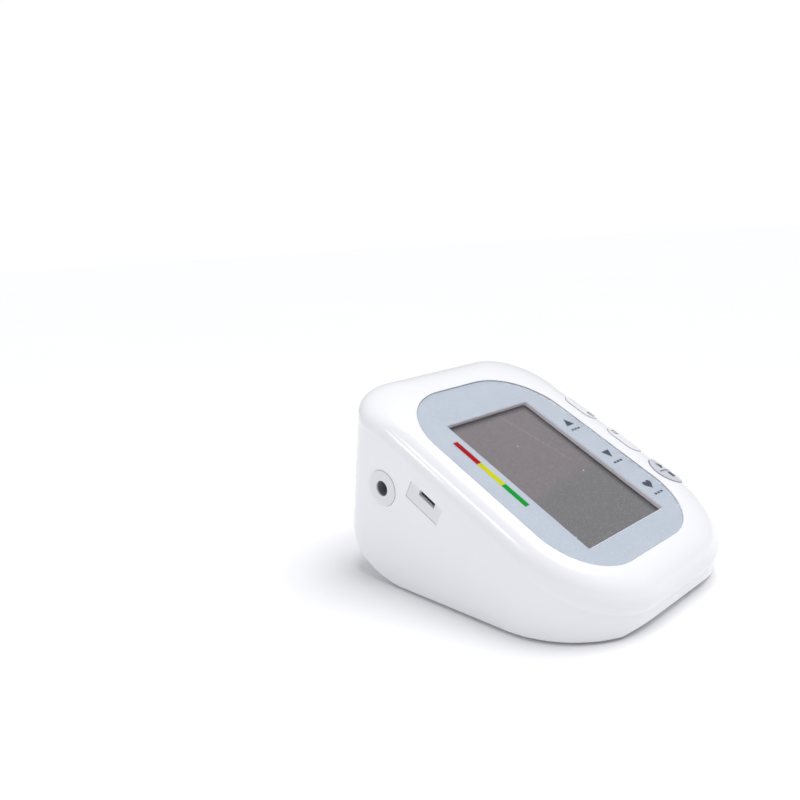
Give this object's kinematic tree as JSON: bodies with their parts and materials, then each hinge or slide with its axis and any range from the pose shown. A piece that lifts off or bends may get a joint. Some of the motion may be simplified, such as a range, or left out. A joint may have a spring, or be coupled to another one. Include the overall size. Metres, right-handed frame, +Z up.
{
  "type": "blood pressure monitor",
  "caption": "Tabletop upper-arm blood pressure monitor, a white wedge with a tilted oval display window, side keys, a cuff air socket and a charging socket.",
  "frame": {"origin": "middle of the monitor's bounding box, on the surface that its rubber feet stand on", "axes": "+Z up; +Y from the low front edge to the high rear; +X to the user's right, where the keys are"},
  "size_m": [0.1131, 0.1315, 0.0786],
  "materials": {
    "case_white": "glossy white moulded ABS",
    "button_white": "satin white moulded ABS",
    "button_grey": "satin light grey moulded ABS",
    "lens_clear": "clear acrylic window sheet",
    "bezel_silver": "blue-silver ink printed behind the window",
    "lcd_grey": "blank reflective liquid crystal cell, switched off",
    "reflector_film": "satin reflector film",
    "port_white": "matt white moulded ABS",
    "socket_white": "matt white moulded ABS",
    "frame_plastic": "plain ivory moulded ABS",
    "foot_rubber": "dark grey moulded rubber",
    "board_green": "glass-fibre board with green solder resist",
    "part_black": "black moulded epoxy",
    "part_tin": "tinned steel",
    "spring_steel": "nickel-plated spring steel",
    "screw_zinc": "zinc-plated steel",
    "brass_disc": "bare brass",
    "cell_jacket": "steel can in a dark printed sleeve",
    "tube_silicone": "translucent white silicone tube",
    "diaphragm_rubber": "black moulded rubber",
    "pump_black": "black glass-filled nylon",
    "motor_steel": "zinc-plated drawn steel can",
    "magnet_ferrite": "dark grey bonded ferrite",
    "rotor_steel": "stacked steel sheets on a ground shaft",
    "foam_grey": "grey foam rubber sleeve",
    "coil_copper": "enamelled copper wire",
    "lead_sleeve": "red and black wire sleeving"
  },
  "bodies": {
    "case": {"air_socket": "socket_white", "air_socket_nut": "frame_plastic", "air_tee": "frame_plastic", "battery_cells": "cell_jacket", "battery_contacts": "spring_steel", "battery_leads": "lead_sleeve", "battery_springs": "spring_steel", "bezel_print": "bezel_silver", "board_capacitors": "part_black", "board_chips": "part_black", "board_screws": "screw_zinc", "case_screws": "screw_zinc", "contact_strips": "foot_rubber", "display_lens": "lens_clear", "front_cover": "case_white", "key_switches": "part_black", "lcd_frame": "frame_plastic", "lcd_glass": "lcd_grey", "lcd_reflector": "reflector_film", "main_board": "board_green", "piezo_buzzer": "brass_disc", "pressure_sensor": "part_tin", "pump_diaphragm": "diaphragm_rubber", "pump_end_cap": "pump_black", "pump_head": "pump_black", "pump_housing": "pump_black", "pump_leads": "lead_sleeve", "pump_magnet": "magnet_ferrite", "pump_motor": "motor_steel", "pump_sleeve": "foam_grey", "pump_tube": "tube_silicone", "rear_case": "case_white", "rubber_feet": "foot_rubber", "sensor_tube": "tube_silicone", "socket_tube": "tube_silicone", "usb_port_plate": "port_white", "usb_socket": "part_tin", "valve_bobbin": "frame_plastic", "valve_coil": "coil_copper", "valve_leads": "lead_sleeve", "valve_nozzle": "frame_plastic", "valve_spring": "spring_steel", "valve_tube": "tube_silicone", "valve_yoke": "motor_steel"},
    "set_button": {"set_button": "button_white", "set_switch_plunger": "part_black"},
    "memory_button": {"memory_button": "button_white", "memory_switch_plunger": "part_black"},
    "start_button": {"start_button": "button_grey", "start_switch_plunger": "part_black"},
    "battery_door": {"battery_door": "case_white"},
    "pump_rotor": {"pump_rotor": "rotor_steel"},
    "valve_plunger": {"valve_plunger": "motor_steel"}
  },
  "joints": [
    {"name": "set_press", "type": "slide", "parent": "case", "child": "set_button", "axis": [0, 0.4695, -0.8829], "range_m": [0, 0.0008], "stiffness_N_per_m": 1200},
    {"name": "memory_press", "type": "slide", "parent": "case", "child": "memory_button", "axis": [0, 0.4695, -0.8829], "range_m": [0, 0.0008], "stiffness_N_per_m": 1200},
    {"name": "start_press", "type": "slide", "parent": "case", "child": "start_button", "axis": [0, 0.4695, -0.8829], "range_m": [0, 0.0008], "stiffness_N_per_m": 1200},
    {"name": "battery_door_hinge", "type": "hinge", "parent": "case", "child": "battery_door", "pos_m": [0, -0.0297, 0.0011], "axis": [-1, 0, 0], "range_deg": [0, 80]},
    {"name": "pump_rotor_spin", "type": "hinge", "parent": "case", "child": "pump_rotor", "pos_m": [0.02, 0.041, 0.039], "axis": [1, 0, 0], "continuous": true},
    {"name": "valve_plunger_slide", "type": "slide", "parent": "case", "child": "valve_plunger", "axis": [0, 1, 0], "range_m": [0, 0.0012], "stiffness_N_per_m": 300, "deforming": ["valve_spring"]}
  ]
}
